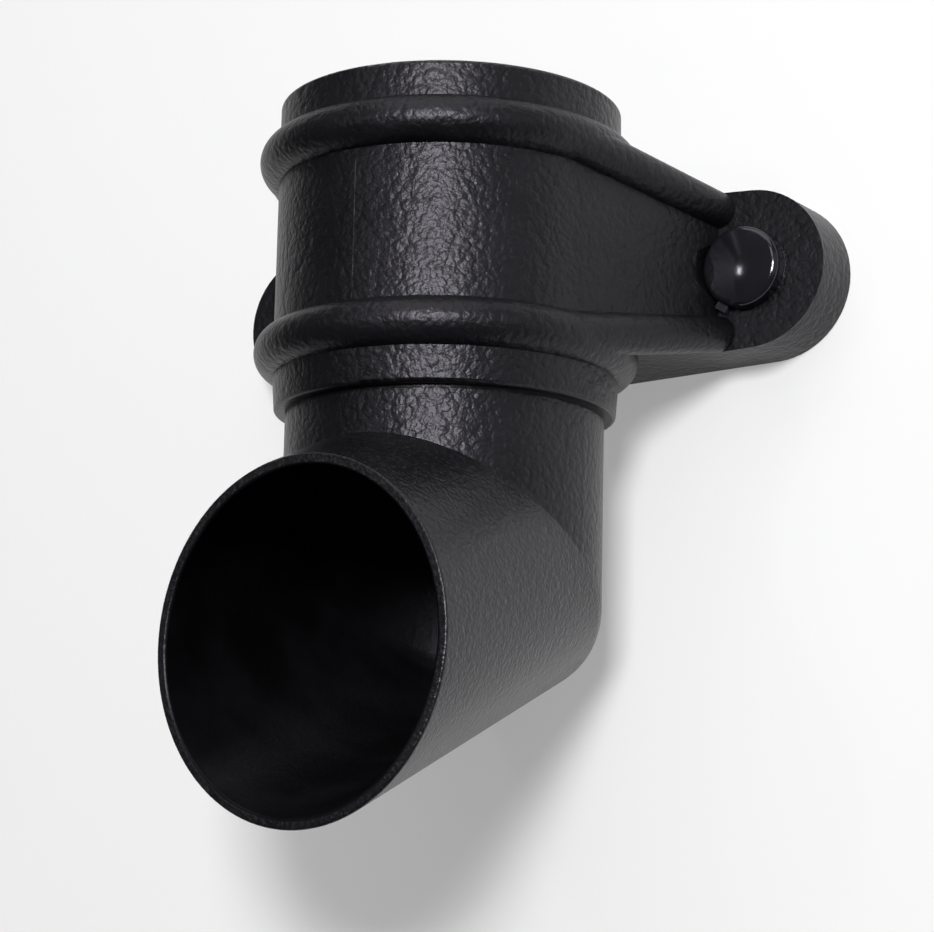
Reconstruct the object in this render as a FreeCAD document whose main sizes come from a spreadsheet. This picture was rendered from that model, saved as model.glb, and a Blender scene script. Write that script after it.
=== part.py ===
"""A lugged downpipe shoe for a round rainwater pipe: beaded socket, ears, mitred bend, spout and cover caps.

Frame: +Z up along the pipe, +Y towards the wall, +X to the right as seen from in front.
The origin is on the pipe's axis, on the shoulder in the socket that the pipe's end stands on.
"""
import FreeCAD, Part
import math
import os
import Sketcher
from FreeCAD import Placement, Rotation, Vector

# Driving dimensions: name, millimetres or degrees, what it is.
SIZES = [
    ("pipe_diameter", 68.0, "outside of the rainwater pipe, and of the shoe's own spout"),
    ("spout_wall", 2.2, "wall of the bend and the spout"),
    ("socket_clearance", 0.5, "gap round a pipe in the socket, on the radius"),
    ("socket_wall", 2.45, "wall of the socket"),
    ("socket_depth", 65.0, "shoulder to top rim"),
    ("shoulder_thickness", 2.4, "web between the shoulder and the collar's underside"),
    ("collar_step", 0.45, "how much slimmer the collar is below the lower bead"),
    ("rim_round", 0.8, "rounded edges of the socket"),
    ("entry_chamfer", 0.8, "lead-in of the socket's mouth"),
    ("bead_offset", 21.1, "each bead's centre from the socket's mid height"),
    ("bead_width", 10.2, "bead along the pipe"),
    ("bead_rise", 4.2, "bead proud of the socket"),
    ("wall_distance", 45.0, "pipe axis to the wall"),
    ("fixing_spacing", 112.0, "fixing hole to fixing hole"),
    ("lug_spacing", 113.0, "centre to centre of the ears' round ends"),
    ("lug_radius", 17.75, "round end of an ear, at the wall"),
    ("lug_thickness", 13.7, "ear's thickness at the fixing hole"),
    ("ear_taper", 2.5, "fall of an ear's edges towards its end, degrees"),
    ("ear_draft", 1.4, "mould draft of the ear's edges, degrees"),
    ("ear_wall", 3.0, "skin of the hollow ears"),
    ("ear_stiffener", 2.6, "level rib that splits the hollow of an ear"),
    ("web_lean", 18.5, "ear's front web from the line square to the wall, degrees"),
    ("web_bite", 0.1, "how far the web's face dips into the socket wall"),
    ("rib_end_offset", 13.7, "edge rib's end from the socket's mid height"),
    ("rib_end_radius", 4.0, "edge rib's rounding where it meets the lug"),
    ("upper_rib_radius", 4.5, "upper edge rib's rounding where it leaves the bead"),
    ("lower_rib_radius", 4.9, "lower edge rib's rounding there"),
    ("rib_inner_offset", 16.35, "rib's inner edge there from the socket's mid height"),
    ("rib_sink", 0.15, "rib's start below the bead's crest"),
    ("screw_hole", 6.5, "fixing hole's diameter"),
    ("head_recess", 13.0, "diameter of the recess for a screw head"),
    ("head_recess_depth", 6.0, "depth of that recess"),
    ("boss_wall", 2.5, "wall round that recess"),
    ("cap_diameter", 17.9, "cover cap"),
    ("cap_skirt", 3.5, "straight side of the cap"),
    ("cap_rise", 4.7, "cap's crown above the lug"),
    ("cap_edge_round", 1.6, "rounding between the cap's side and its dome"),
    ("cap_wall", 1.6, "cap's skin"),
    ("cap_plug_length", 4.5, "cap's plug in the recess"),
    ("cap_plug_clearance", 0.1, "gap round that plug, on the radius"),
    ("cap_seat_clearance", 0.4, "gap round the cap where its seat bites into the web"),
    ("cap_seat_depth", 9.0, "how far that seat runs out from the lug's face"),
    ("gate_tab_width", 2.8, "stub of the moulding gate on the cap's rim"),
    ("gate_tab_length", 1.5, "that stub proud of the rim"),
    ("gate_tab_thickness", 1.4, "that stub's thickness"),
    ("gate_tab_gap", 0.4, "that stub off the lug's face"),
    ("gate_tab_angle", 149.0, "that stub's place round the cap, from straight up towards the pipe"),
    ("bend_angle", 67.5, "turn of the spout from straight down, degrees"),
    ("knee_drop", 32.0, "collar's underside to the bend's knee, on the axis"),
    ("mouth_reach", 52.2, "pipe axis to the mouth's plane"),
    ("heel_round", 7.0, "rounding of the bend's heel"),
    ("mouth_round", 0.5, "rounded edges of the mouth"),
]
PAST = 1.0  # how far a cut runs on past a face, mm


class Dim:
    """A length or angle that knows its number now and the expression that gives it from the sheet."""

    def __init__(self, text, value):
        self.text = text
        self.value = float(value)

    @staticmethod
    def of(other):
        return other if isinstance(other, Dim) else Dim(repr(float(other)), other)

    def __add__(self, other):
        other = Dim.of(other)
        return Dim(f"({self.text} + {other.text})", self.value + other.value)

    def __sub__(self, other):
        other = Dim.of(other)
        return Dim(f"({self.text} - {other.text})", self.value - other.value)

    def __mul__(self, other):
        other = Dim.of(other)
        return Dim(f"({self.text} * {other.text})", self.value * other.value)

    def __truediv__(self, other):
        other = Dim.of(other)
        return Dim(f"({self.text} / {other.text})", self.value / other.value)

    def __radd__(self, other):
        return Dim.of(other) + self

    def __rsub__(self, other):
        return Dim.of(other) - self

    def __rmul__(self, other):
        return Dim.of(other) * self

    def __neg__(self):
        return Dim(f"(0 - {self.text})", -self.value)


def sine(angle):
    return Dim(f"sin({angle.text})", math.sin(math.radians(angle.value)))


def cosine(angle):
    return Dim(f"cos({angle.text})", math.cos(math.radians(angle.value)))


def root(number):
    return Dim(f"sqrt({number.text})", math.sqrt(number.value))


def make_sheet(doc):
    """Fills the sheet and returns each driving dimension by name."""
    sheet = doc.addObject("Spreadsheet::Sheet", "sizes")
    for row, (name, value, meaning) in enumerate(SIZES, start=1):
        sheet.set(f"A{row}", meaning)
        sheet.set(f"B{row}", str(value))
        sheet.setAlias(f"B{row}", name)
    doc.recompute()
    return {name: Dim(f"sizes.{name}", sheet.get(name)) for name, _, _ in SIZES}


def bind(thing, path, dim):
    """Ties a property of a document object to the sheet."""
    thing.setExpression(path, Dim.of(dim).text)


def sketch_on(body, name, plane, origin=(0, 0, 0), turn=None):
    """A sketch on one of the body's origin planes, moved by origin and turned about its own upright axis."""
    sketch = body.newObject("Sketcher::SketchObject", name)
    support = next(f for f in body.Origin.OriginFeatures if f.Role == plane)
    sketch.AttachmentSupport = [(support, "")]
    sketch.MapMode = "FlatFace"
    origin = [Dim.of(part) for part in origin]
    spin = Rotation(Vector(0, 1, 0), turn.value if turn else 0)
    sketch.AttachmentOffset = Placement(Vector(*[part.value for part in origin]), spin)
    for letter, part in zip("xyz", origin):
        bind(sketch, f"AttachmentOffset.Base.{letter}", part)
    if turn:
        bind(sketch, "AttachmentOffset.Rotation.Angle", turn)
    return sketch


def fix_point(sketch, curve, end, x, y):
    """Places one point of a curve from the sketch's origin."""
    for kind, dim, axis in (("DistanceX", x, -2), ("DistanceY", y, -1)):
        if dim.value == 0:
            sketch.addConstraint(Sketcher.Constraint("PointOnObject", curve, end, axis))
            continue
        index = sketch.addConstraint(Sketcher.Constraint(kind, -1, 1, curve, end, dim.value))
        bind(sketch, f"Constraints[{index}]", dim)


def outline(sketch, corners):
    """A closed outline.

    Each corner is (x, y), or (x, y, radius, side) where an arc leaves it, bulging left (1) or right (-1).
    """
    points = [(Dim.of(c[0]), Dim.of(c[1])) for c in corners]
    curves = []
    for i, corner in enumerate(corners):
        start = Vector(points[i][0].value, points[i][1].value, 0)
        x, y = points[(i + 1) % len(points)]
        finish = Vector(x.value, y.value, 0)
        if len(corner) == 2:
            curves.append(sketch.addGeometry(Part.LineSegment(start, finish), False))
            continue
        radius, side = Dim.of(corner[2]), corner[3]
        chord = finish - start
        left = Vector(-chord.y, chord.x, 0).normalize()
        half = chord.Length / 2
        sagitta = radius.value - math.sqrt(max(radius.value**2 - half**2, 0))
        middle = (start + finish) / 2 + left * (side * sagitta)
        curves.append(sketch.addGeometry(Part.Arc(start, middle, finish), False))
    for i, curve in enumerate(curves):
        after = curves[(i + 1) % len(curves)]
        arc = len(corners[i]) == 4
        turned = arc and corners[i][3] == 1
        next_turned = len(corners[(i + 1) % len(curves)]) == 4 and corners[(i + 1) % len(curves)][3] == 1
        sketch.addConstraint(
            Sketcher.Constraint("Coincident", curve, 1 if turned else 2, after, 2 if next_turned else 1)
        )
        fix_point(sketch, curve, 2 if turned else 1, *points[i])
        if arc:
            index = sketch.addConstraint(Sketcher.Constraint("Radius", curve, corners[i][2].value))
            bind(sketch, f"Constraints[{index}]", corners[i][2])


def ring(sketch, x, y, radius):
    """A full circle."""
    x, y, radius = Dim.of(x), Dim.of(y), Dim.of(radius)
    curve = sketch.addGeometry(Part.Circle(Vector(x.value, y.value, 0), Vector(0, 0, 1), radius.value), False)
    fix_point(sketch, curve, 3, x, y)
    index = sketch.addConstraint(Sketcher.Constraint("Radius", curve, radius.value))
    bind(sketch, f"Constraints[{index}]", radius)


def extrude(body, kind, name, sketch, length, backwards=False, both_ways=False):
    """A Pad or Pocket of a sketch, along or against its normal, or evenly both ways."""
    feature = body.newObject(f"PartDesign::{kind}", name)
    feature.Profile = sketch
    feature.Type = 0
    feature.Length = Dim.of(length).value
    bind(feature, "Length", length)
    feature.Reversed = backwards
    if both_ways:
        feature.SideType = "Symmetric"
    return feature


def turned(body, kind, name, sketch):
    """A full Revolution or Groove of a sketch about its own upright axis."""
    feature = body.newObject(f"PartDesign::{kind}", name)
    feature.Profile = sketch
    feature.ReferenceAxis = (sketch, ["V_Axis"])
    feature.Angle = 360
    return feature


class Shoe:
    """Sizes worked out from the driving ones, shared by the pieces that fit each other."""

    def __init__(self, size):
        self.size = size
        self.pipe_r = size["pipe_diameter"] / 2
        self.bore_r = self.pipe_r - size["spout_wall"]
        self.socket_r = self.pipe_r + size["socket_clearance"]
        self.socket_out = self.socket_r + size["socket_wall"]
        self.collar_out = self.socket_out - size["collar_step"]
        self.collar_low = -size["shoulder_thickness"]
        self.mid = (size["socket_depth"] - size["shoulder_thickness"]) / 2
        width, rise = size["bead_width"], size["bead_rise"]
        self.bead_radius = (width * width / 4 + rise * rise) / (rise * 2)
        self.lug_x = size["lug_spacing"] / 2
        self.hole_x = size["fixing_spacing"] / 2
        self.lug_face = size["wall_distance"] - size["lug_thickness"]
        self.lean_sin = sine(size["web_lean"])
        self.lean_cos = cosine(size["web_lean"])
        self.web = self.socket_out - size["web_bite"]
        self.knee = self.collar_low - size["knee_drop"]
        self.cap_r = size["cap_diameter"] / 2
        self.recess_r = size["head_recess"] / 2

    def on_web(self, depth, y):
        """x where a line set depth from the axis, parallel to the web, reaches y."""
        return (depth + y * self.lean_sin) / self.lean_cos


def ear_outline(shoe, radius):
    """End x, end half height and middle half height of an ear-to-ear outline with this end radius."""
    taper = shoe.size["ear_taper"]
    end_x = shoe.lug_x + radius * sine(taper)
    end_half = radius * cosine(taper)
    middle_half = (radius + shoe.lug_x * sine(taper)) / cosine(taper)
    return end_x, end_half, middle_half


def add_ears(body, shoe):
    """The two ears as one hollow block across the back of the socket, open towards the wall."""
    size, mid = shoe.size, shoe.mid
    wall = (0, 0, -size["wall_distance"])
    radius = size["lug_radius"]
    end_x, end_half, middle_half = ear_outline(shoe, radius)
    tangent_x, tangent_y = shoe.web * shoe.lean_cos, -(shoe.web * shoe.lean_sin)

    plan = sketch_on(body, "ear_elevation", "XZ_Plane", wall)
    outline(plan, [
        (-end_x, mid - end_half), (0, mid - middle_half), (end_x, mid - end_half, radius, -1),
        (end_x, mid + end_half), (0, mid + middle_half), (-end_x, mid + end_half, radius, -1),
    ])
    block = extrude(body, "Pad", "ear_block", plan, size["wall_distance"] - tangent_y)
    bind(block, "TaperAngle", -size["ear_draft"])

    front = sketch_on(body, "ear_plan", "XY_Plane", (0, 0, mid))
    far = end_x + radius + PAST
    foot = shoe.on_web(shoe.web, shoe.lug_face)
    for side in (1, -1):
        corners = [
            (tangent_x, tangent_y), (foot, shoe.lug_face), (far, shoe.lug_face),
            (far, tangent_y - PAST), (tangent_x, tangent_y - PAST),
        ]
        outline(front, [(x * side, y) for x, y in corners])
    extrude(body, "Pocket", "ear_front", front, middle_half * 2 + PAST, both_ways=True)

    skin, split = size["ear_wall"], size["ear_stiffener"] / 2
    inner = radius - skin
    core_x, core_half, core_middle = ear_outline(shoe, inner)
    corner_x = shoe.lug_x + root(inner * inner - split * split)
    hollow = sketch_on(body, "lug_core_elevation", "XZ_Plane", wall)
    outline(hollow, [
        (corner_x, mid + split, inner, -1), (core_x, mid + core_half), (0, mid + core_middle),
        (-core_x, mid + core_half, inner, -1), (-corner_x, mid + split),
    ])
    outline(hollow, [
        (-corner_x, mid - split, inner, -1), (-core_x, mid - core_half), (0, mid - core_middle),
        (core_x, mid - core_half, inner, -1), (corner_x, mid - split),
    ])
    extrude(body, "Pocket", "lug_core", hollow, size["lug_thickness"] - skin, backwards=True)

    web_inside = shoe.web - skin
    reach = root(shoe.socket_out * shoe.socket_out - web_inside * web_inside)
    near_x = web_inside * shoe.lean_cos + reach * shoe.lean_sin
    near_y = reach * shoe.lean_cos - web_inside * shoe.lean_sin
    back_y = shoe.lug_face + skin + PAST
    back_x = shoe.on_web(web_inside, back_y)
    for name, way in (("upper", 1), ("lower", -1)):
        core = sketch_on(body, f"{name}_web_core_plan", "XY_Plane", (0, 0, mid + split * way))
        outline(core, [(near_x, near_y), (back_x, back_y), (-back_x, back_y), (-near_x, near_y)])
        extrude(body, "Pocket", f"{name}_web_core", core, inner - split, backwards=way == 1)

    bosses = sketch_on(body, "boss_circles", "XZ_Plane", wall)
    for side in (1, -1):
        ring(bosses, shoe.hole_x * side, mid, shoe.recess_r + size["boss_wall"])
    extrude(body, "Pad", "screw_bosses", bosses, size["lug_thickness"])


def add_edge_rib(body, shoe, side, level):
    """One half-round rib that leaves a bead and runs straight down an ear's edge to its lug."""
    size = shoe.size
    place = "upper" if level == 1 else "lower"
    name = f"{'right' if side == 1 else 'left'}_{place}_rib"
    start = sketch_on(body, f"{name}_start", "XZ_Plane", turn=-(size["web_lean"] * side))
    thick = size[f"{place}_rib_radius"]
    depth = shoe.socket_out + size["bead_rise"] - size["rib_sink"] - thick
    ring(start, depth * side, shoe.mid + (size["rib_inner_offset"] + thick) * level, thick)
    end_y = shoe.lug_face + PAST / 2
    end = sketch_on(body, f"{name}_end", "XZ_Plane", (0, 0, -end_y))
    end_x, end_z = shoe.on_web(shoe.web, end_y) * side, shoe.mid + size["rib_end_offset"] * level
    ring(end, end_x, end_z, size["rib_end_radius"])
    rib = body.newObject("PartDesign::AdditiveLoft", name)
    rib.Profile = start
    rib.Sections = [end]
    rib.Ruled = True


def add_socket(body, shoe):
    """The socket's wall with its two beads, and the shoulder that closes it in to the bend."""
    size = shoe.size
    top, low, rim = size["socket_depth"], shoe.collar_low, size["rim_round"]
    out, half = shoe.socket_out, size["bead_width"] / 2
    corners = [(shoe.bore_r, low), (shoe.collar_out - rim, low, rim, -1), (shoe.collar_out, low + rim)]
    for level in (shoe.mid - size["bead_offset"], shoe.mid + size["bead_offset"]):
        corners += [(out, level - half, shoe.bead_radius, -1), (out, level + half)]
    corners += [(out, top - rim, rim, -1), (out - rim, top), (shoe.bore_r, top)]
    wall = sketch_on(body, "socket_section", "XZ_Plane")
    outline(wall, corners)
    turned(body, "Revolution", "socket_wall", wall)


def bore_socket(body, shoe):
    """The pipe's own space in the socket, down to the shoulder, with its lead-in."""
    top, lead = shoe.size["socket_depth"], shoe.size["entry_chamfer"]
    bore = sketch_on(body, "socket_bore_section", "XZ_Plane")
    outline(bore, [
        (0, 0), (shoe.socket_r, 0), (shoe.socket_r, top - lead), (shoe.socket_r + lead, top),
        (shoe.socket_r + lead, top + PAST), (0, top + PAST),
    ])
    turned(body, "Groove", "socket_bore", bore)


def add_fixings(body, shoe):
    """Screw holes, the recesses for their heads and the seats of the cover caps."""
    size = shoe.size
    wall, face = (0, 0, -size["wall_distance"]), (0, 0, -shoe.lug_face)
    cuts = (
        ("screw_holes", wall, size["screw_hole"] / 2, size["lug_thickness"] + PAST, True),
        ("head_recesses", face, shoe.recess_r, size["head_recess_depth"], False),
        ("cap_seats", face, shoe.cap_r + size["cap_seat_clearance"], size["cap_seat_depth"], True),
    )
    for name, plane, radius, depth, forwards in cuts:
        circles = sketch_on(body, f"{name}_circles", "XZ_Plane", plane)
        for side in (1, -1):
            ring(circles, shoe.hole_x * side, shoe.mid, radius)
        extrude(body, "Pocket", name, circles, depth, backwards=forwards)


def make_fitting(doc, shoe):
    """The upper half of the moulding: socket, beads, ears and ribs."""
    body = doc.addObject("PartDesign::Body", "fitting")
    add_ears(body, shoe)
    add_socket(body, shoe)
    for side in (1, -1):
        for level in (1, -1):
            add_edge_rib(body, shoe, side, level)
    bore_socket(body, shoe)
    add_fixings(body, shoe)
    return body


def heel_patch(radius, rounding, bend):
    """The rounded heel of a mitred round bar, knee at the origin: a closed wedge and the corner it replaces.

    Every plane through the knee's level axis cuts the bar in half an ellipse, so the surface is the product
    of the heel's rounded corner, seen from the side, and half a circle.
    """
    half = math.radians(bend) / 2
    back, bisector = Vector(0, 1, 0), Vector(0, math.cos(half), -math.sin(half))
    under = Vector(0, math.cos(2 * half), -math.sin(2 * half))
    centre = bisector * ((radius - rounding) / math.cos(half))
    corner = [centre + back * rounding, bisector * (radius / math.cos(half)), centre + under * rounding]
    corner_weights = [1, math.cos(half), 1]
    quarter = math.sqrt(0.5)
    across = [(-1, 0, 1), (-1, 1, quarter), (0, 1, 1), (1, 1, quarter), (1, 0, 1)]
    poles = [[Vector(radius * x, p.y * c, p.z * c) for x, c, _ in across] for p in corner]
    weights = [[w * v for _, _, v in across] for w in corner_weights]
    surface = Part.BSplineSurface()
    surface.buildFromPolesMultsKnots(
        poles, [3, 3], [3, 2, 3], [0, 1], [0, 0.5, 1], False, False, 2, 2, weights
    )
    patch = surface.toShape()
    seam = Part.makeLine(Vector(-radius, 0, 0), Vector(radius, 0, 0))
    rims = [edge for edge in patch.Edges if not edge.Degenerated]
    cheeks = [Part.Face(Part.Wire(Part.__sortEdges__([edge, seam]))) for edge in rims]
    shell = Part.makeShell([patch] + cheeks)
    shell.sewShape()
    wedge = Part.Solid(shell)
    if wedge.Volume < 0:
        wedge.reverse()
    aside = Vector(-2 * radius, 0, 0)
    fan = [aside] + [aside + p * 2 for p in corner] + [aside]
    sharp = Part.Face(Part.makePolygon(fan)).extrude(aside * -2)
    return wedge, sharp


def bent_bar(radius, rounding, bend, knee, top, reach):
    """A round bar down from top that turns by bend at the knee and runs out to the plane y = -reach."""
    turn = math.radians(bend)
    out = (reach + radius * math.cos(turn)) / math.sin(turn) + PAST
    up = Vector(0, 0, top - knee)
    aside = Vector(radius, 0, 0)
    arcs = [Part.Arc(up + aside, up + Vector(0, way * radius, 0), up - aside).toShape() for way in (1, -1)]
    axis = Vector(0, -math.sin(turn), -math.cos(turn))
    path = Part.Wire([Part.makeLine(up, Vector()), Part.makeLine(Vector(), axis * out)])
    right_corner = 1
    bar = path.makePipeShell([Part.Wire(Part.__sortEdges__(arcs))], True, False, right_corner)
    wedge, sharp = heel_patch(radius, rounding, bend)
    bar = bar.cut(sharp).fuse(wedge).removeSplitter()
    side = 4 * radius + 2 * out
    beyond = Part.makeBox(side, side, side, Vector(-side / 2, -reach - side, -side / 2))
    bar = bar.cut(beyond)
    bar.translate(Vector(0, 0, knee))
    return bar.Solids[0]


def make_bend(doc, shoe):
    """The bend and spout, as a solid bar and the bar of water space inside it."""
    size = shoe.size
    bend, knee, reach = size["bend_angle"].value, shoe.knee.value, size["mouth_reach"].value
    heel = size["heel_round"].value
    outside = doc.addObject("Part::Feature", "bend_outside")
    top = -size["shoulder_thickness"].value / 2
    outside.Shape = bent_bar(shoe.pipe_r.value, heel, bend, knee, top, reach)
    waterway = doc.addObject("Part::Feature", "bend_waterway")
    thin = max(heel - size["spout_wall"].value, size["mouth_round"].value)
    waterway.Shape = bent_bar(shoe.bore_r.value, thin, bend, knee, PAST, reach + PAST)
    return outside, waterway


def make_shoe_body(doc, shoe):
    """The whole moulding: fitting and bend fused, bored through, with the mouth's edges rounded."""
    fitting = make_fitting(doc, shoe)
    outside, waterway = make_bend(doc, shoe)
    fused = doc.addObject("Part::MultiFuse", "moulding")
    fused.Shapes = [fitting, outside]
    fused.Refine = True
    bored = doc.addObject("Part::Cut", "bored_moulding")
    bored.Base, bored.Tool = fused, waterway
    doc.recompute()
    mouth = -shoe.size["mouth_reach"].value
    at_mouth = [
        i for i, edge in enumerate(bored.Shape.Edges, start=1)
        if max(abs(v.Point.y - mouth) for v in edge.Vertexes) < 1e-4
        and abs(edge.CenterOfMass.y - mouth) < 1e-4
    ]
    rounded = doc.addObject("Part::Fillet", "shoe_body")
    rounded.Base = bored
    rounding = shoe.size["mouth_round"].value
    rounded.Edges = [(i, rounding, rounding) for i in at_mouth]
    return rounded


def make_cap(doc, shoe, side):
    """A push-in cover cap: a domed shell with a plug ring, and the stub of its moulding gate."""
    size = shoe.size
    name = "cover_cap_right" if side == 1 else "cover_cap_left"
    body = doc.addObject("PartDesign::Body", name)
    skin, skirt, rise = size["cap_wall"], size["cap_skirt"], size["cap_rise"]
    plug = shoe.recess_r - size["cap_plug_clearance"]
    hollow = plug - skin
    crown = rise - skirt
    dome = (shoe.cap_r * shoe.cap_r + crown * crown) / (crown * 2)
    under = dome - skin
    hollow_y = dome - rise - root(under * under - hollow * hollow)
    section = sketch_on(body, f"{name}_section", "XY_Plane", (shoe.hole_x * side, shoe.lug_face, shoe.mid))
    length = size["cap_plug_length"]
    outline(section, [
        (hollow, length), (plug, length), (plug, 0), (shoe.cap_r, 0), (shoe.cap_r, -skirt, dome, 1),
        (0, -rise), (0, skin - rise, under, -1), (hollow, hollow_y),
    ])
    revolved = turned(body, "Revolution", f"{name}_dome", section)
    doc.recompute()
    brim = shoe.lug_face.value - skirt.value
    edges = [
        f"Edge{i}" for i, edge in enumerate(revolved.Shape.Edges, start=1)
        if abs(edge.Length - 2 * math.pi * shoe.cap_r.value) < 1e-4 and abs(edge.CenterOfMass.y - brim) < 1e-4
    ]
    rounded = body.newObject("PartDesign::Fillet", f"{name}_edge")
    rounded.Base = (revolved, edges)
    bind(rounded, "Radius", size["cap_edge_round"])

    turn = size["gate_tab_angle"]
    along_x, along_z = -(sine(turn) * side), cosine(turn)
    tab = sketch_on(body, f"{name}_tab_outline", "XZ_Plane",
                    (shoe.hole_x * side, shoe.mid, -(shoe.lug_face - size["gate_tab_gap"])))
    inner, outer = shoe.cap_r - skin / 2, shoe.cap_r + size["gate_tab_length"]
    half = size["gate_tab_width"] / 2
    corners = ((inner, half), (outer, half), (outer, -half), (inner, -half))
    outline(tab, [
        (along_x * out - along_z * across, along_z * out + along_x * across) for out, across in corners
    ])
    extrude(body, "Pad", f"{name}_tab", tab, size["gate_tab_thickness"])
    return body


def export(doc, pieces):
    """Stops on any failed object or bad solid, then writes one STEP file a piece."""
    doc.recompute()
    failed = [o.Name for o in doc.Objects if {"Invalid", "Error"} & set(o.State)]
    if failed:
        raise RuntimeError(f"failed objects: {failed}")
    for piece in pieces:
        shape = piece.Shape
        if shape.isNull() or not shape.isValid() or len(shape.Solids) != 1:
            raise RuntimeError(f"{piece.Label} is not one valid solid")
    os.makedirs("parts", exist_ok=True)
    for piece in pieces:
        piece.Shape.exportStep(f"parts/{piece.Label}.step")
        print(f"{piece.Label}: {piece.Shape.Volume / 1000:.2f} cm3, {len(piece.Shape.Faces)} faces")


def main():
    doc = FreeCAD.newDocument("downpipe_shoe")
    shoe = Shoe(make_sheet(doc))
    pieces = [make_shoe_body(doc, shoe)]
    pieces += [make_cap(doc, shoe, side) for side in (1, -1)]
    export(doc, pieces)


if __name__ == "__main__":
    main()
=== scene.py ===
"""Looks of a lugged downpipe shoe: pebbled black moulding, glossy caps, pale wall, soft light and camera.

Everything is in metres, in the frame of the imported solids: +Z up along the pipe, +Y towards the wall, +X to
the right as seen from in front, and the origin on the pipe's axis, on the shoulder in the socket.
"""
import logging
import math
from dataclasses import dataclass, field
from enum import Enum
from typing import Any

import bmesh
import bpy
from mathutils import Matrix, Vector

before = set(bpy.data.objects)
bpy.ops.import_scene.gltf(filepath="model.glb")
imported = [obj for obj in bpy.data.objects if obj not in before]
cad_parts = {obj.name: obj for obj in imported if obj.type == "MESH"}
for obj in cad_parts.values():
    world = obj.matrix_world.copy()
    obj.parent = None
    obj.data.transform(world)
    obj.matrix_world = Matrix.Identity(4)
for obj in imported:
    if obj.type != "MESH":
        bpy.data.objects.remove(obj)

LOG = logging.getLogger("downpipe_shoe")
MM = 0.001
Value = Any
Range = tuple[float, float]
Colour = tuple[float, float, float, float]
WHITE: Colour = (1.0, 1.0, 1.0, 1.0)
PLASTIC_IOR = 1.5


class Piece(Enum):
    """The solids of the part, by the names that they are packed under."""

    MOULDING = "shoe_body"
    RIGHT_CAP = "cover_cap_right"
    LEFT_CAP = "cover_cap_left"


class Signal:
    """A shader socket that Python's arithmetic builds Math nodes on."""

    def __init__(self, bench: "Bench", socket: bpy.types.NodeSocket) -> None:
        """Keeps the socket and the bench that it belongs to."""
        self.bench = bench
        self.socket = socket

    def __add__(self, other: Value) -> "Signal":
        """This plus other."""
        return self.bench.sum_up("ADD", self, other)

    def __radd__(self, other: Value) -> "Signal":
        """Other plus this."""
        return self.bench.sum_up("ADD", other, self)

    def __sub__(self, other: Value) -> "Signal":
        """This less other."""
        return self.bench.sum_up("SUBTRACT", self, other)

    def __rsub__(self, other: Value) -> "Signal":
        """Other less this."""
        return self.bench.sum_up("SUBTRACT", other, self)

    def __mul__(self, other: Value) -> "Signal":
        """This times other."""
        return self.bench.sum_up("MULTIPLY", self, other)

    def __rmul__(self, other: Value) -> "Signal":
        """Other times this."""
        return self.bench.sum_up("MULTIPLY", other, self)

    def __abs__(self) -> "Signal":
        """This without its sign."""
        return self.bench.sum_up("ABSOLUTE", self)

    def fade(self, start: float, end: float) -> "Signal":
        """A smooth step on this value.

        Args:
            start: value at which the step is 0.
            end: value at which the step is 1; it may be below start.

        Returns:
            The step, from 0 to 1.
        """
        low, high = min(start, end), max(start, end)
        step = self.bench.node(
            "ShaderNodeMapRange", {"interpolation_type": "SMOOTHSTEP"},
            {"Value": self, "From Min": low, "From Max": high},
        )
        return step if end > start else 1 - step

    def between(self, start: float, end: float) -> "Signal":
        """A value that goes from start to end as this goes from 0 to 1."""
        return start + self * (end - start)


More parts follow.
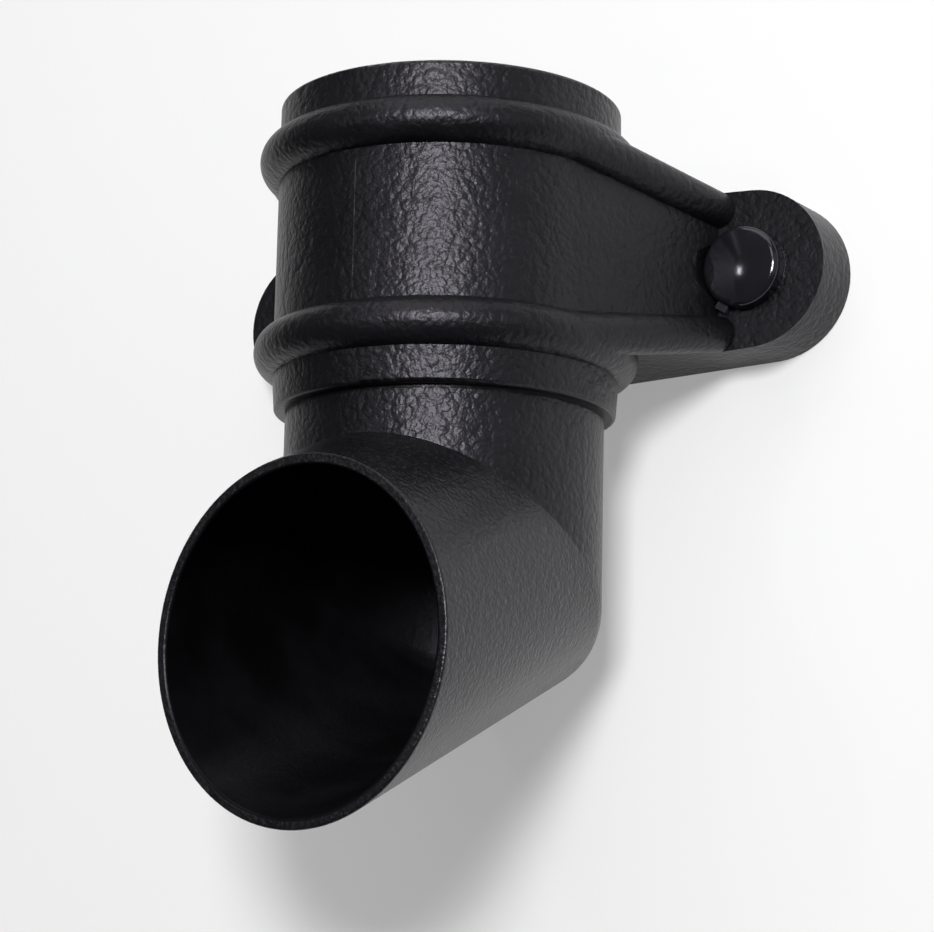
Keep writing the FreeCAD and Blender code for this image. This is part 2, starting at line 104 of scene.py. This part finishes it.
class Bench:
    """The node tree of a material or of the world, and the few ways in which nodes are added to it."""

    def __init__(self, owner: bpy.types.Material | bpy.types.World) -> None:
        """Clears the owner's nodes to start from nothing.

        Args:
            owner: the material or world that the nodes belong to.
        """
        owner.use_nodes = True
        self.owner = owner
        self.tree = owner.node_tree
        self.tree.nodes.clear()

    @classmethod
    def for_finish(cls, name: str) -> "Bench":
        """A bench with a new material of this name."""
        return cls(bpy.data.materials.new(name))

    def node(self, kind: str, settings: dict[str, Value] | None = None,
             sockets: dict[str | int, Value] | None = None, output: str | int = 0) -> Signal:
        """Adds one node.

        Args:
            kind: the node's type.
            settings: its own properties, set first.
            sockets: values or signals of its inputs, by name or number.
            output: the output that is returned.

        Returns:
            The chosen output, or the first input of a node that has no output.
        """
        made = self.tree.nodes.new(kind)
        for key, value in (settings or {}).items():
            setattr(made, key, value)
        for key, value in (sockets or {}).items():
            if isinstance(value, Signal):
                self.tree.links.new(value.socket, made.inputs[key])
            else:
                made.inputs[key].default_value = value
        return Signal(self, made.outputs[output] if len(made.outputs) else made.inputs[0])

    def sum_up(self, operation: str, *values: Value) -> Signal:
        """A Math node on one or two values."""
        return self.node("ShaderNodeMath", {"operation": operation}, dict(enumerate(values)))

    def split(self, vector: Signal) -> tuple[Signal, ...]:
        """The three parts of a vector."""
        apart = self.node("ShaderNodeSeparateXYZ", sockets={0: vector}).socket.node
        return tuple(Signal(self, part) for part in apart.outputs)

    def blend(self, share: Value, first: Value, second: Value) -> Signal:
        """A mix of two colours: share 0 gives the first, 1 the second."""
        return self.node("ShaderNodeMix", {"data_type": "RGBA"}, {0: share, 6: first, 7: second}, 2)

    def mix(self, share: Value, first: Signal, second: Signal) -> Signal:
        """A mix of two shaders: share 0 gives the first, 1 the second."""
        return self.node("ShaderNodeMixShader", sockets={0: share, 1: first, 2: second})

    def place(self) -> Signal:
        """The point's place in the part's own frame."""
        return self.node("ShaderNodeTexCoord", output="Object")

    def finish(self, shader: Signal) -> bpy.types.Material | bpy.types.World:
        """Wires the shader to the output.

        Args:
            shader: the surface's shader, or the world's background.

        Returns:
            The material or world that the nodes belong to.
        """
        kind = "World" if isinstance(self.owner, bpy.types.World) else "Material"
        self.node(f"ShaderNodeOutput{kind}", sockets={"Surface": shader})
        return self.owner


@dataclass(frozen=True)
class Zones:
    """Masks over the moulding, each 1 in its own zone and 0 elsewhere."""

    spout: Signal
    beyond_barrel: Signal
    outside: Signal
    collar_edge: Signal
    front_seam: Signal


@dataclass(frozen=True)
class ShoeFrame:
    """Places on the moulding that its finish changes at, in metres and degrees."""

    socket_inside: float = 34.6 * MM
    socket_blur: float = 0.3 * MM
    shoulder_blur: float = 0.6 * MM
    pipe_inside: float = 32.0 * MM
    pipe_blur: float = 0.5 * MM
    knee_height: float = -34.4 * MM
    bend: float = 67.5
    mitre_blur: float = 0.4 * MM
    collar_low: float = -2.4 * MM
    collar_edge: float = 0.3 * MM
    collar_blur: float = 0.9 * MM
    barrel: float = 37.4 * MM
    barrel_low: float = 15.4 * MM
    barrel_high: float = 47.2 * MM
    barrel_blur: float = 1.0 * MM
    seam_half_width: float = 0.16 * MM
    seam_top: float = 0.16 / 3 * MM
    seam_front: float = 5.0 * MM

    def zones(self, bench: Bench, place: Signal) -> Zones:
        """Draws the masks.

        Args:
            bench: the material's bench.
            place: the point's place in the part's own frame.

        Returns:
            The masks.
        """
        x, y, z = bench.split(place)
        turn, half = math.radians(self.bend), math.radians(self.bend / 2)
        below = z - self.knee_height
        across = y * math.cos(turn) - below * math.sin(turn)
        upright_radius = bench.sum_up("SQRT", x * x + y * y)
        spout_radius = bench.sum_up("SQRT", x * x + across * across)
        spout = (y * -math.sin(half) - below * math.cos(half)).fade(-self.mitre_blur, self.mitre_blur)
        socket = z.fade(-self.shoulder_blur, 0.0)
        pipe_wall = self.pipe_inside + self.pipe_blur
        in_socket = socket * upright_radius.fade(self.socket_inside + self.socket_blur, self.socket_inside)
        in_pipe = (1 - socket) * (1 - spout) * upright_radius.fade(pipe_wall, self.pipe_inside)
        in_spout = spout * spout_radius.fade(pipe_wall, self.pipe_inside)
        front_seam = abs(x).fade(self.seam_half_width, self.seam_top) * y.fade(0.0, -self.seam_front)
        front_seam = front_seam * z.fade(self.barrel_low, self.barrel_low + self.barrel_blur)
        front_seam = front_seam * z.fade(self.barrel_high, self.barrel_high - self.barrel_blur)
        return Zones(
            spout=spout,
            beyond_barrel=upright_radius.fade(self.barrel, self.barrel + self.barrel_blur),
            outside=1 - in_socket - in_pipe - in_spout,
            collar_edge=abs(z - self.collar_low).fade(self.collar_blur, self.collar_edge),
            front_seam=front_seam,
        )


@dataclass(frozen=True)
class PebbledPlastic:
    """Black plastic moulded in a mould with a cast-iron skin: rounded pebbles over a fine grain."""

    name: str = "pebbled_black_plastic"
    dark: Colour = (0.0024, 0.0022, 0.0027, 1.0)
    light: Colour = (0.0049, 0.0045, 0.0055, 1.0)
    # pale grey that is blended in: lighter dashes on the parting line, painted sheen with the sandier grain
    # on the spout, and rare dust specks
    pale_grey: Colour = (0.071, 0.067, 0.077, 1.0)
    tint: Colour = (1.0, 0.96, 1.09, 1.0)
    shine: float = 0.3
    # shine of the pipe's inside, cut low: painted shade that darkens the inside
    shaded_shine_inside: float = 0.08
    coat_on_spout: float = 0.1
    roughness: float = 0.37
    roughness_spout: float = 0.31
    roughness_patches: float = 0.06
    patch_scale: float = 70.0
    patch_range: Range = (0.35, 0.7)
    lump: float = 2.4 * MM
    lump_height: float = 0.12 * MM
    pebble: float = 0.95 * MM
    pebble_height: float = 0.18 * MM
    bead: float = 1.75 * MM
    bead_height: float = 0.16 * MM
    pebbles_on_spout: float = 0.5
    pebbles_beyond_barrel: float = 0.8
    grain: float = 0.9 * MM
    grain_height: float = 0.19 * MM
    grain_off_spout: float = 0.08
    relief_inside: float = 0.2
    relief_on_edge: float = 0.2
    # the spout's grain tops go towards the pale grey: partly the sandier skin's own lighter grain, partly
    # painted sheen that brightens the spout's side; speck_range marks rare dust specks all over
    sand_sheen_range: Range = (0.5, 0.72)
    sand_sheen_on_spout: float = 0.6
    speck_range: Range = (0.76, 0.8)
    sand_sheen_and_dust_share: float = 0.25
    # the front parting line: a slight rise, and broken dashes lightened towards the pale grey
    seam_rise: float = 0.02 * MM
    seam_range: Range = (0.35, 0.6)
    seam_lightening: float = 0.4
    shoe: ShoeFrame = field(default_factory=ShoeFrame)

    def make(self) -> bpy.types.Material:
        """Builds the material.

        Returns:
            The finished material.
        """
        bench = Bench.for_finish(self.name)
        place = bench.place()
        zones = self.shoe.zones(bench, place)

        lumps = bench.node("ShaderNodeTexNoise", sockets={
            "Vector": place, "Scale": 1 / self.lump, "Detail": 1.0,
        })
        pebbles = bench.node("ShaderNodeTexNoise", sockets={
            "Vector": place, "Scale": 1 / self.pebble, "Detail": 1.0, "Roughness": 0.5,
        })
        grain = bench.node("ShaderNodeTexNoise", sockets={
            "Vector": place, "Scale": 1 / self.grain, "Detail": 1.0, "Roughness": 0.6,
        })
        patches = bench.node("ShaderNodeTexNoise", sockets={
            "Vector": place, "Scale": self.patch_scale, "Detail": 4.0,
        })
        beads = bench.node("ShaderNodeTexVoronoi", sockets={"Vector": place, "Scale": 1 / self.bead})

        relief = pebbles * self.pebble_height + lumps * self.lump_height - beads * beads * self.bead_height
        relief = relief * zones.spout.between(1.0, self.pebbles_on_spout)
        relief = relief * zones.beyond_barrel.between(1.0, self.pebbles_beyond_barrel)
        relief = relief + grain * zones.spout.between(self.grain_off_spout, 1.0) * self.grain_height
        relief = relief * zones.outside.between(self.relief_inside, 1.0)
        relief = relief * zones.collar_edge.between(1.0, self.relief_on_edge)
        relief = relief + zones.front_seam * self.seam_rise
        bump = bench.node("ShaderNodeBump", sockets={"Strength": 1.0, "Distance": 1.0, "Height": relief})

        tone = bench.blend(patches.fade(*self.patch_range), self.dark, self.light)
        # Lighter broken dashes along the front parting line.
        seam = zones.front_seam * lumps.fade(*self.seam_range)
        tone = bench.blend(seam * self.seam_lightening, tone, self.pale_grey)
        # Painted sheen on the spout: its grain tops are lightened towards the pale grey, partly the sandier
        # skin's own lighter grain; rare dust specks everywhere.
        sand_sheen_and_dust = zones.spout * grain.fade(*self.sand_sheen_range) * self.sand_sheen_on_spout + grain.fade(*self.speck_range)
        tone = bench.blend(sand_sheen_and_dust * zones.outside * self.sand_sheen_and_dust_share, tone, self.pale_grey)
        rough = zones.spout.between(self.roughness, self.roughness_spout) + patches * self.roughness_patches
        coat = zones.spout * zones.outside * self.coat_on_spout
        # The inside gets a skin with low shine: painted shade that darkens the pipe's inside.
        shaded_inner_skin, outer_skin = (
            bench.node("ShaderNodeBsdfPrincipled", sockets={
                "Base Color": tone, "Roughness": rough, "Normal": bump, "IOR": PLASTIC_IOR,
                "Specular IOR Level": shine, "Specular Tint": self.tint,
                "Coat Weight": coat, "Coat Roughness": self.roughness_spout,
            })
            for shine in (self.shaded_shine_inside, self.shine)
        )
        return bench.finish(bench.mix(zones.outside, shaded_inner_skin, outer_skin))


@dataclass(frozen=True)
class GlossPlastic:
    """Smooth black plastic from a polished mould, with faint handling marks."""

    name: str = "gloss_black_plastic"
    dark: Colour = (0.006, 0.0057, 0.0075, 1.0)
    light: Colour = (0.0095, 0.009, 0.0115, 1.0)
    tint: Colour = (1.0, 0.96, 1.1, 1.0)
    shine: float = 0.5
    roughness: float = 0.1
    roughness_smears: float = 0.04
    smear_scale: float = 260.0
    ripple_scale: float = 620.0
    ripple_height: float = 0.004 * MM
    crown_aside: float = 56.0 * MM
    crown_height: float = 31.3 * MM
    crown_radius: float = 34.0 * MM
    crown_reach: float = 1.2 * MM
    crown_facing: Range = (-0.5, -0.7)

    def make(self) -> bpy.types.Material:
        """Builds the material.

        Returns:
            The finished material.
        """
        bench = Bench.for_finish(self.name)
        place = bench.place()
        smears = bench.node("ShaderNodeTexNoise", sockets={
            "Vector": place, "Scale": self.smear_scale, "Detail": 5.0,
        })
        ripples = bench.node("ShaderNodeTexNoise", sockets={
            "Vector": place, "Scale": self.ripple_scale, "Detail": 2.0,
        })
        bump = bench.node("ShaderNodeBump", sockets={
            "Strength": 1.0, "Distance": 1.0, "Height": ripples * self.ripple_height,
            "Normal": self._crown(bench, place),
        })
        return bench.finish(bench.node("ShaderNodeBsdfPrincipled", sockets={
            "Base Color": bench.blend(smears, self.dark, self.light),
            "Roughness": self.roughness + smears * self.roughness_smears, "Normal": bump,
            "IOR": PLASTIC_IOR, "Specular IOR Level": self.shine, "Specular Tint": self.tint,
        }))

    def _crown(self, bench: Bench, place: Signal) -> Signal:
        """The way that the surface faces, kept even on the very top of the dome.

        Args:
            bench: the material's bench.
            place: the point's place in the part's own frame.

        Returns:
            A unit vector.
        """
        x, _, z = bench.split(place)
        aside = x - bench.sum_up("SIGN", x) * self.crown_aside
        above = z - self.crown_height
        rim = self.crown_reach ** 2
        top = (aside * aside + above * above).fade(rim, rim / 2)
        facing = bench.node("ShaderNodeTexCoord", output="Normal")
        out = bench.split(facing)[1].fade(*self.crown_facing)
        curve = 1 / self.crown_radius
        dome = bench.node("ShaderNodeCombineXYZ", sockets={0: aside * curve, 1: -1.0, 2: above * curve})
        mixed = bench.node("ShaderNodeMix", {"data_type": "VECTOR"}, {0: top * out, 4: facing, 5: dome}, 1)
        return bench.node("ShaderNodeVectorMath", {"operation": "NORMALIZE"}, {0: mixed})


@dataclass(frozen=True)
class PaleWall:
    """Matt white board, seen from its front only."""

    name: str = "pale_wall"
    colour: Colour = (0.85, 0.85, 0.85, 1.0)
    colour_seen: Colour = WHITE
    paleness: float = 0.32

    def make(self) -> bpy.types.Material:
        """Builds the material.

        Returns:
            The finished material.
        """
        bench = Bench.for_finish(self.name)
        board = bench.node("ShaderNodeBsdfDiffuse", sockets={"Color": self.colour})
        glow = bench.node("ShaderNodeEmission", sockets={"Color": self.colour_seen, "Strength": 1.0})
        camera, glossy, transmitted, shade = (
            bench.node("ShaderNodeLightPath", output=f"Is {ray} Ray")
            for ray in ("Camera", "Glossy", "Transmission", "Shadow")
        )
        seen = bench.sum_up("MAXIMUM", bench.sum_up("MAXIMUM", camera, glossy), transmitted)
        behind = bench.node("ShaderNodeNewGeometry", output="Backfacing")
        clear = bench.node("ShaderNodeBsdfTransparent")
        face = bench.mix(seen * self.paleness, board, glow)
        return bench.finish(bench.mix(bench.sum_up("MAXIMUM", behind, shade), face, clear))


@dataclass
class Moulding:
    """The shoe itself: one moulding from the socket's rim to the mouth."""

    solid: bpy.types.Object
    finish: PebbledPlastic = field(default_factory=PebbledPlastic)

    def dress(self) -> None:
        """Gives the moulding its pebbled finish."""
        self.solid.data.materials[0] = self.finish.make()
        LOG.info("%s: %d faces, %s", self.solid.name, len(self.solid.data.polygons), self.finish.name)


@dataclass
class CoverCaps:
    """The two push-in caps over the fixing screws."""

    solids: list[bpy.types.Object]
    finish: GlossPlastic = field(default_factory=GlossPlastic)

    def dress(self) -> None:
        """Gives both caps the same gloss."""
        material = self.finish.make()
        for solid in self.solids:
            solid.data.materials[0] = material
            LOG.info("%s: %d faces, %s", solid.name, len(solid.data.polygons), self.finish.name)


def direction(azimuth: float, elevation: float) -> Vector:
    """The way from the part to a viewer or a light.

    Args:
        azimuth: degrees from straight in front, towards the right.
        elevation: degrees above the level.

    Returns:
        A unit vector.
    """
    a, e = math.radians(azimuth), math.radians(elevation)
    return Vector((math.sin(a) * math.cos(e), -math.cos(a) * math.cos(e), math.sin(e)))


@dataclass(frozen=True)
class SoftBox:
    """A rectangular soft light that faces the part, placed by direction and distance."""

    name: str
    azimuth: float
    elevation: float
    width: float
    height: float
    watts: float
    distance: float = 1.3

    def build(self, aim: Vector) -> None:
        """Hangs the light.

        Args:
            aim: the point that it faces.
        """
        lamp = bpy.data.lights.new(self.name, "AREA")
        lamp.shape = "RECTANGLE"
        lamp.size, lamp.size_y, lamp.energy = self.width, self.height, self.watts
        holder = bpy.data.objects.new(self.name, lamp)
        back = direction(self.azimuth, self.elevation)
        holder.location = aim + back * self.distance
        holder.rotation_euler = back.to_track_quat("Z", "Y").to_euler()
        holder.visible_camera = False
        bpy.context.scene.collection.objects.link(holder)


@dataclass
class Studio:
    """The pale wall that the ears stand on, the soft lights and the even light of the room."""

    wall_distance: float = 45.2 * MM
    wall_reach: float = 1.5
    room_above: float = 0.11
    room_below: float = 0.075
    room_range: Range = (-0.35, 0.75)
    finish: PaleWall = field(default_factory=PaleWall)
    lights: tuple[SoftBox, ...] = (
        SoftBox("main_box", azimuth=23.0, elevation=10.0, width=0.26, height=0.26, watts=15.6),
        SoftBox("upper_box", azimuth=21.0, elevation=28.0, width=0.3, height=0.3, watts=0.8),
        SoftBox("top_box", azimuth=15.0, elevation=62.0, width=1.2, height=0.9, watts=5.4),
        SoftBox("right_box", azimuth=65.0, elevation=10.0, width=1.0, height=1.0, watts=1.3),
        SoftBox("left_box", azimuth=-21.4, elevation=12.0, width=0.04, height=0.11, watts=0.5),
        SoftBox("back_box", azimuth=180.0, elevation=12.0, width=1.2, height=1.0, watts=8.0),
    )

    def build(self) -> None:
        """Sets the wall, the lights and the world."""
        mesh = bpy.data.meshes.new("wall")
        shape = bmesh.new()
        upright = Matrix.Translation((0, self.wall_distance, 0)) @ Matrix.Rotation(math.pi / 2, 4, "X")
        bmesh.ops.create_grid(shape, x_segments=1, y_segments=1, size=self.wall_reach, matrix=upright)
        shape.to_mesh(mesh)
        shape.free()
        wall = bpy.data.objects.new("wall", mesh)
        wall.data.materials.append(self.finish.make())
        bpy.context.scene.collection.objects.link(wall)
        for light in self.lights:
            light.build(Vector((0, 0, 0)))
        self._light_room()
        LOG.info("studio: %d lights", len(self.lights))

    def _light_room(self) -> None:
        """A soft light that falls off downwards, and white where the camera looks past the wall."""
        bpy.context.scene.world = bpy.data.worlds.new("room")
        bench = Bench(bpy.context.scene.world)
        way = bench.node("ShaderNodeTexCoord", output="Generated")
        height = bench.node("ShaderNodeSeparateXYZ", sockets={0: way}, output="Z")
        level = height.fade(*self.room_range).between(self.room_below, self.room_above)
        room = bench.node("ShaderNodeBackground", sockets={"Color": WHITE, "Strength": level})
        white = bench.node("ShaderNodeBackground", sockets={"Color": WHITE, "Strength": 1.0})
        seen = bench.node("ShaderNodeLightPath", output="Is Camera Ray")
        bench.finish(bench.mix(seen, room, white))


@dataclass(frozen=True)
class Viewpoint:
    """The camera, by the direction that it looks from."""

    azimuth: float = 31.304
    elevation: float = -10.676
    roll: float = 1.233
    aside: float = 4.745 * MM
    above: float = -12.537 * MM
    distance: float = 573.747 * MM
    lens: float = 103.548

    def build(self) -> None:
        """Sets the camera up and makes it the scene's own."""
        back = direction(self.azimuth, self.elevation)
        a, r = math.radians(self.azimuth), math.radians(self.roll)
        level = Vector((math.cos(a), math.sin(a), 0))
        upright = back.cross(level)
        right = level * math.cos(r) + upright * math.sin(r)
        up = upright * math.cos(r) - level * math.sin(r)
        camera = bpy.data.cameras.new("camera")
        camera.lens = self.lens
        holder = bpy.data.objects.new("camera", camera)
        stand = right * self.aside + up * self.above + back * self.distance
        turn = Matrix((right, up, back)).transposed().to_4x4()
        holder.matrix_world = Matrix.Translation(stand) @ turn
        bpy.context.scene.collection.objects.link(holder)
        bpy.context.scene.camera = holder


def main() -> None:
    """Dresses the pieces in order and sets the scene round them."""
    logging.basicConfig(level=logging.INFO, format="%(name)s: %(message)s")
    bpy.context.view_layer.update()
    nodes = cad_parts
    Moulding(nodes[Piece.MOULDING.value]).dress()
    CoverCaps([nodes[Piece.RIGHT_CAP.value], nodes[Piece.LEFT_CAP.value]]).dress()
    Studio().build()
    Viewpoint().build()
    bpy.context.scene.view_settings.view_transform = "Standard"


if __name__ == "__main__":
    main()
